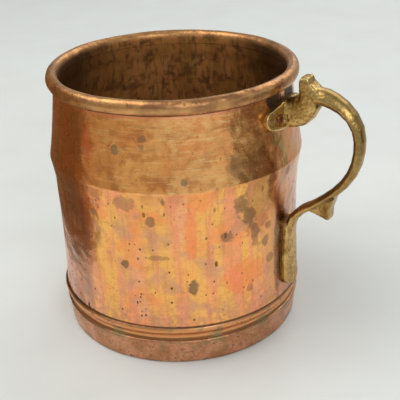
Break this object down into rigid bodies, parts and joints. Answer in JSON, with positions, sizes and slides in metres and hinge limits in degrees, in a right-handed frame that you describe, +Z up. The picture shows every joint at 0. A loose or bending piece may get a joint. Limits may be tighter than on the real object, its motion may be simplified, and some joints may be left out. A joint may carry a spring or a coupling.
{
  "type": "mug",
  "caption": "Large copper mug with a wired rolled rim, a shouldered wall, a seamed base pan and a riveted cast brass handle with a thumb piece.",
  "frame": {"origin": "centre of the foot face, on the mug's axis", "axes": "+Z up along the mug's axis, +X towards the handle"},
  "size_m": [0.171, 0.1336, 0.1426],
  "materials": {
    "copper_wall": "aged polished copper, dented and spotted",
    "iron_wire": "drawn iron wire, hidden",
    "copper_base": "aged copper, duller than the wall",
    "tin_solder": "grey soft solder",
    "brass_handle": "cast brass with dark patina in the recesses",
    "copper_rivet": "hammered copper, darkened"
  },
  "bodies": {
    "root": {"wall_shell": "copper_wall", "rim_wire": "iron_wire", "base_pan": "copper_base", "seam_solder": "tin_solder", "handle": "brass_handle", "rivet_upper_front": "copper_rivet", "rivet_upper_rear": "copper_rivet", "rivet_lower": "copper_rivet"}
  },
  "joints": []
}
